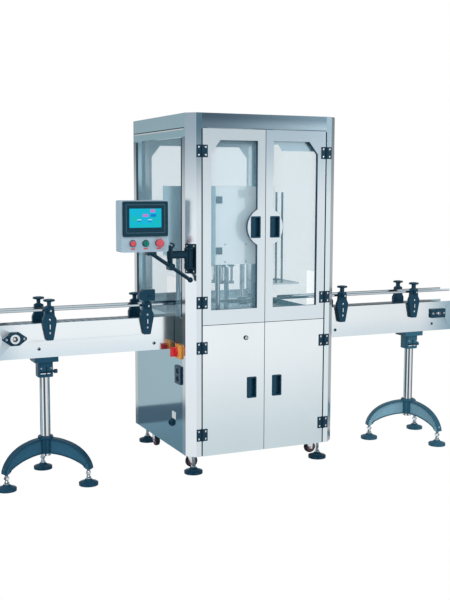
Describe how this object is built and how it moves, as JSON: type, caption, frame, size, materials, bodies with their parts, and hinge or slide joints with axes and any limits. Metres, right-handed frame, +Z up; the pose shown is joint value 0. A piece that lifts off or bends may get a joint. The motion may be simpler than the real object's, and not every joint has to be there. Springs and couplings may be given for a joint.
{
  "type": "can seaming machine",
  "caption": "Glazed stainless cabinet on feet and casters that seams can lids, with a slat conveyor through it on tripod stands and a swivel operator panel.",
  "frame": {"origin": "on the floor, under the middle of the overall box", "axes": "+X the way the cans travel, +Y from the operator's side to the back, +Z up"},
  "size_m": [2.5282, 0.8654, 1.7287],
  "materials": {
    "stainless": "brushed stainless sheet",
    "bright_steel": "polished steel",
    "slats": "worn stainless slats",
    "clear_pane": "clear polycarbonate",
    "dark_plastic": "satin black plastic",
    "black_metal": "satin black paint",
    "grey_paint": "fine textured grey paint",
    "drive_paint": "machine enamel",
    "yellow_plastic": "gloss",
    "red_plastic": "gloss",
    "green_plastic": "gloss",
    "screen": "gloss bezel and screen",
    "tyre": "moulded rubber"
  },
  "bodies": {
    "machine": {"cabinet_frame": "stainless", "floor_plate": "stainless", "table_plate": "stainless", "left_lower_panel": "stainless", "right_lower_panel": "stainless", "back_lower_panel": "stainless", "back_upper_panel": "stainless", "left_window_pane": "clear_pane", "right_window_pane": "clear_pane", "back_window_pane": "clear_pane", "main_switch_base": "yellow_plastic", "hmi_bracket": "black_metal", "conveyor_front_side": "stainless", "conveyor_back_side": "stainless", "slat_chain": "slats", "conveyor_gearmotor": "drive_paint", "left_stand_clamp": "dark_plastic", "left_stand_tube": "bright_steel", "left_tripod": "dark_plastic", "right_stand_clamp": "dark_plastic", "right_stand_tube": "bright_steel", "right_tripod": "dark_plastic", "seaming_housing": "stainless", "main_drive": "drive_paint"},
    "upper_left_door_body": {"upper_left_door": "stainless", "upper_left_pane": "clear_pane", "upper_left_pull": "dark_plastic"},
    "upper_right_door_body": {"upper_right_door": "stainless", "upper_right_pane": "clear_pane", "upper_right_pull": "dark_plastic"},
    "lower_left_door_body": {"lower_left_door": "stainless", "lower_left_pull": "dark_plastic"},
    "lower_right_door_body": {"lower_right_door": "stainless", "lower_right_pull": "dark_plastic"},
    "key_lock_body": {"key_lock": "bright_steel"},
    "main_switch_body": {"main_switch_knob": "red_plastic"},
    "panel_arm": {"hmi_arm": "black_metal"},
    "operator_panel": {"hmi_support": "black_metal", "hmi_box": "grey_paint", "touch_panel": "screen"},
    "stop_button_body": {"stop_button": "red_plastic"},
    "start_button_body": {"start_button": "green_plastic"},
    "emergency_stop_body": {"emergency_stop": "red_plastic"},
    "front_rail": {"front_guide_rail": "bright_steel"},
    "back_rail_left": {"back_guide_rail_left": "bright_steel"},
    "back_rail_right": {"back_guide_rail_right": "bright_steel"},
    "drive_shaft_body": {"drive_shaft": "bright_steel"},
    "idler_shaft_body": {"idler_shaft": "bright_steel"},
    "turret": {"seaming_turret": "bright_steel"},
    "star": {"star_wheel": "bright_steel"},
    "lifter": {"lift_pedestal": "bright_steel"},
    "head_cover": {"housing_cover": "stainless"},
    "front_left_fork": {"front_left_caster_fork": "bright_steel"},
    "front_left_wheel": {"front_left_caster_wheel": "tyre"},
    "front_right_fork": {"front_right_caster_fork": "bright_steel"},
    "front_right_wheel": {"front_right_caster_wheel": "tyre"},
    "back_left_fork": {"back_left_caster_fork": "bright_steel"},
    "back_left_wheel": {"back_left_caster_wheel": "tyre"},
    "back_right_fork": {"back_right_caster_fork": "bright_steel"},
    "back_right_wheel": {"back_right_caster_wheel": "tyre"}
  },
  "joints": [
    {"name": "upper_left_door_hinge", "type": "hinge", "parent": "machine", "child": "upper_left_door_body", "pos_m": [-0.31689, -0.38375, 0], "axis": [0, 0, -1], "range_deg": [0, 110]},
    {"name": "upper_right_door_hinge", "type": "hinge", "parent": "machine", "child": "upper_right_door_body", "pos_m": [0.34511, -0.38375, 0], "axis": [0, 0, 1], "range_deg": [0, 110]},
    {"name": "lower_left_door_hinge", "type": "hinge", "parent": "machine", "child": "lower_left_door_body", "pos_m": [-0.31689, -0.38375, 0], "axis": [0, 0, -1], "range_deg": [0, 110]},
    {"name": "lower_right_door_hinge", "type": "hinge", "parent": "machine", "child": "lower_right_door_body", "pos_m": [0.34511, -0.38375, 0], "axis": [0, 0, 1], "range_deg": [0, 110]},
    {"name": "key_lock_turn", "type": "hinge", "parent": "lower_left_door_body", "child": "key_lock_body", "pos_m": [-0.08689, -0.37825, 0.663], "axis": [0, -1, 0], "range_deg": [0, 90]},
    {"name": "main_switch_turn", "type": "hinge", "parent": "machine", "child": "main_switch_body", "pos_m": [-0.38589, -0.25975, 0.598], "axis": [-1, 0, 0], "range_deg": [0, 90]},
    {"name": "panel_arm_swivel", "type": "hinge", "parent": "machine", "child": "panel_arm", "pos_m": [-0.38533, -0.3777, 0], "axis": [0, 0, 1], "range_deg": [-15, 70]},
    {"name": "panel_pan", "type": "hinge", "parent": "panel_arm", "child": "operator_panel", "pos_m": [-0.47789, -0.3777, 0], "axis": [0, 0, 1], "range_deg": [-60, 10]},
    {"name": "stop_button_push", "type": "slide", "parent": "operator_panel", "child": "stop_button_body", "axis": [0, 1, 0], "range_m": [0, 0.004], "stiffness_N_per_m": 400},
    {"name": "start_button_push", "type": "slide", "parent": "operator_panel", "child": "start_button_body", "axis": [0, 1, 0], "range_m": [0, 0.004], "stiffness_N_per_m": 400},
    {"name": "emergency_stop_push", "type": "slide", "parent": "operator_panel", "child": "emergency_stop_body", "axis": [0, 1, 0], "range_m": [0, 0.004]},
    {"name": "front_rail_slide", "type": "slide", "parent": "machine", "child": "front_rail", "axis": [0, 1, 0], "range_m": [-0.004, 0.015]},
    {"name": "back_rail_left_slide", "type": "slide", "parent": "machine", "child": "back_rail_left", "axis": [0, -1, 0], "range_m": [-0.004, 0.015]},
    {"name": "back_rail_right_slide", "type": "slide", "parent": "machine", "child": "back_rail_right", "axis": [0, -1, 0], "range_m": [-0.004, 0.015]},
    {"name": "drive_shaft_spin", "type": "hinge", "parent": "machine", "child": "drive_shaft_body", "pos_m": [1.17011, -0.14185, 0.697], "axis": [0, 1, 0], "continuous": true},
    {"name": "idler_shaft_spin", "type": "hinge", "parent": "machine", "child": "idler_shaft_body", "pos_m": [-1.16589, -0.14185, 0.697], "axis": [0, 1, 0], "continuous": true},
    {"name": "turret_spin", "type": "hinge", "parent": "machine", "child": "turret", "pos_m": [-0.05589, -0.03275, 1.0137], "axis": [0, 0, 1], "continuous": true},
    {"name": "star_spin", "type": "hinge", "parent": "machine", "child": "star", "pos_m": [0.05411, -0.03275, 0.8], "axis": [0, 0, 1], "continuous": true},
    {"name": "lifter_slide", "type": "slide", "parent": "machine", "child": "lifter", "axis": [0, 0, 1], "range_m": [0, 0.025]},
    {"name": "head_cover_hinge", "type": "hinge", "parent": "machine", "child": "head_cover", "pos_m": [-0.21589, -0.30605, 1.014], "axis": [0, 0, -1], "range_deg": [0, 7]},
    {"name": "front_left_caster_swivel", "type": "hinge", "parent": "machine", "child": "front_left_fork", "pos_m": [-0.32089, -0.20775, 0.0954], "axis": [0, 0, 1], "continuous": true},
    {"name": "front_left_wheel_spin", "type": "hinge", "parent": "front_left_fork", "child": "front_left_wheel", "pos_m": [-0.30289, -0.20775, 0.0335], "axis": [0, 1, 0], "continuous": true},
    {"name": "front_right_caster_swivel", "type": "hinge", "parent": "machine", "child": "front_right_fork", "pos_m": [0.34911, -0.20775, 0.0954], "axis": [0, 0, 1], "continuous": true},
    {"name": "front_right_wheel_spin", "type": "hinge", "parent": "front_right_fork", "child": "front_right_wheel", "pos_m": [0.36711, -0.20775, 0.0335], "axis": [0, 1, 0], "continuous": true},
    {"name": "back_left_caster_swivel", "type": "hinge", "parent": "machine", "child": "back_left_fork", "pos_m": [-0.32089, 0.26225, 0.0954], "axis": [0, 0, 1], "continuous": true},
    {"name": "back_left_wheel_spin", "type": "hinge", "parent": "back_left_fork", "child": "back_left_wheel", "pos_m": [-0.32089, 0.24425, 0.0335], "axis": [1, 0, 0], "continuous": true},
    {"name": "back_right_caster_swivel", "type": "hinge", "parent": "machine", "child": "back_right_fork", "pos_m": [0.34911, 0.26225, 0.0954], "axis": [0, 0, 1], "continuous": true},
    {"name": "back_right_wheel_spin", "type": "hinge", "parent": "back_right_fork", "child": "back_right_wheel", "pos_m": [0.33111, 0.26225, 0.0335], "axis": [0, 1, 0], "continuous": true}
  ],
  "couplings": [
    {"joint": "idler_shaft_spin", "follows": "drive_shaft_spin", "ratio": 1}
  ]
}
